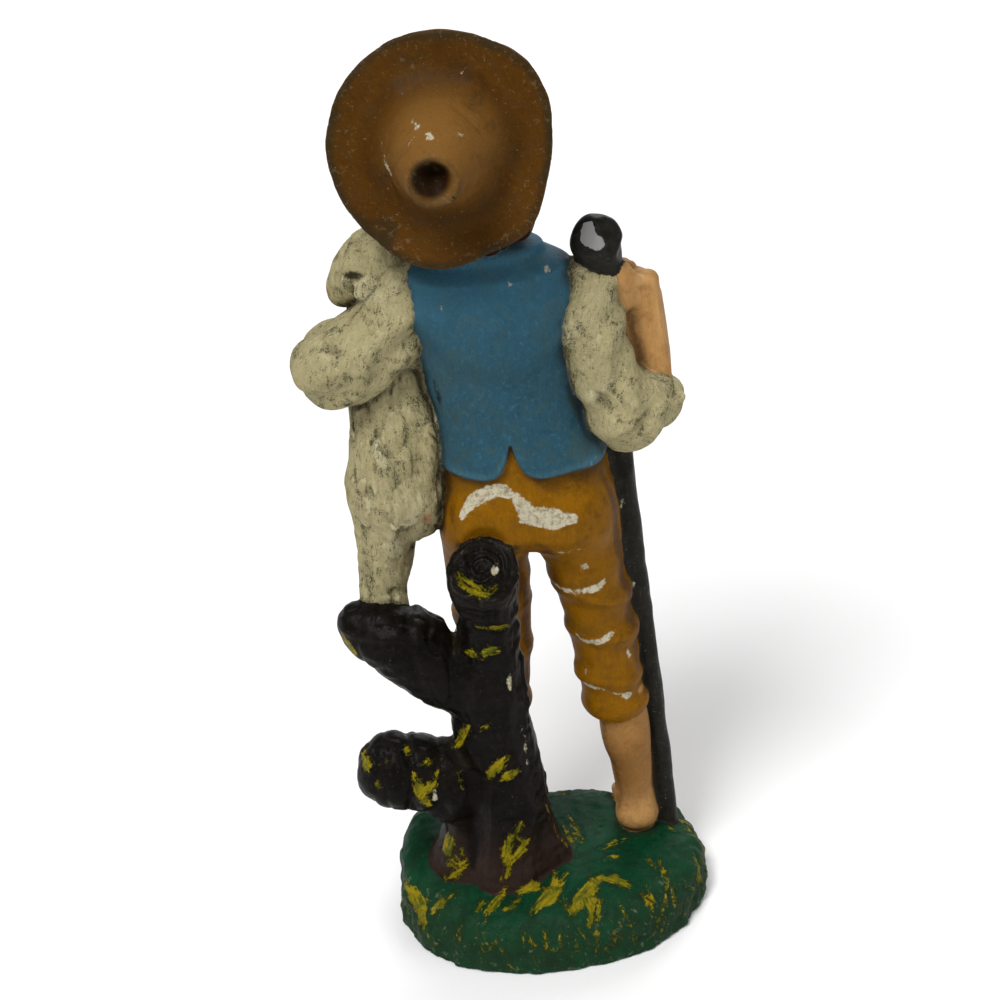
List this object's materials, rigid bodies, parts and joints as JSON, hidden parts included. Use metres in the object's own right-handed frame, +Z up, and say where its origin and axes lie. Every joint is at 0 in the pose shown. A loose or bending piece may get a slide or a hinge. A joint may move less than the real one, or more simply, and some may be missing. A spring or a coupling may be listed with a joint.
{
  "type": "nativity shepherd figurine",
  "caption": "Small painted plaster crib figurine: barefoot shepherd boy in a wide hat with a lamb and a staff, beside a tree stump on a grassy mound.",
  "frame": {"origin": "middle of the mound's flat underside", "axes": "+Z up along the standing figure, the boy faces -Y, his left hand is on the +X side"},
  "size_m": [0.0574, 0.0419, 0.1478],
  "materials": {
    "painted_plaster": "satin, hand painted, worn"
  },
  "bodies": {
    "root": {"shepherd_figurine": "painted_plaster"}
  },
  "joints": []
}
